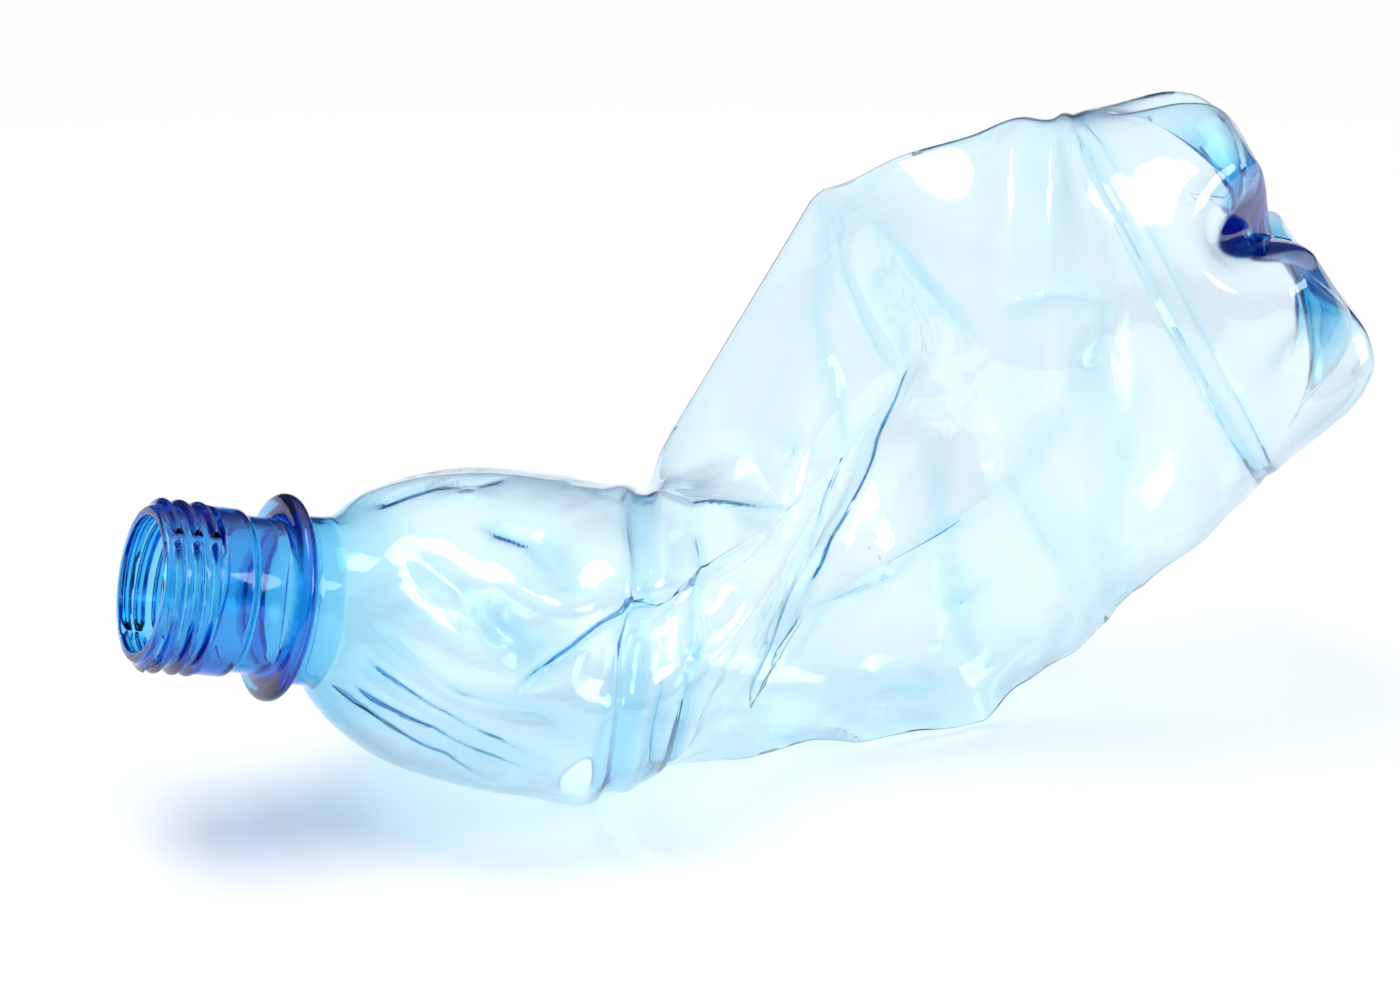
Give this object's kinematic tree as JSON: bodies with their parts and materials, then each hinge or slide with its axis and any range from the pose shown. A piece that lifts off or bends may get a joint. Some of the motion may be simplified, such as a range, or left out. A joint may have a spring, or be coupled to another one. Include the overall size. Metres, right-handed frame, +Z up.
{
  "type": "crushed plastic bottle",
  "caption": "Small clear blue drinks bottle, crushed and twisted, lying on its side with an open screw neck and a base with five feet.",
  "frame": {"origin": "middle of the box the bottle fills, on the surface it lies on", "axes": "+X from the mouth towards the base, +Z up, -Y the side with the deep folds"},
  "size_m": [0.2034, 0.0994, 0.109],
  "materials": {
    "blue_pet": "clear, glossy, pale blue"
  },
  "bodies": {
    "root": {"bottle": "blue_pet"}
  },
  "joints": []
}
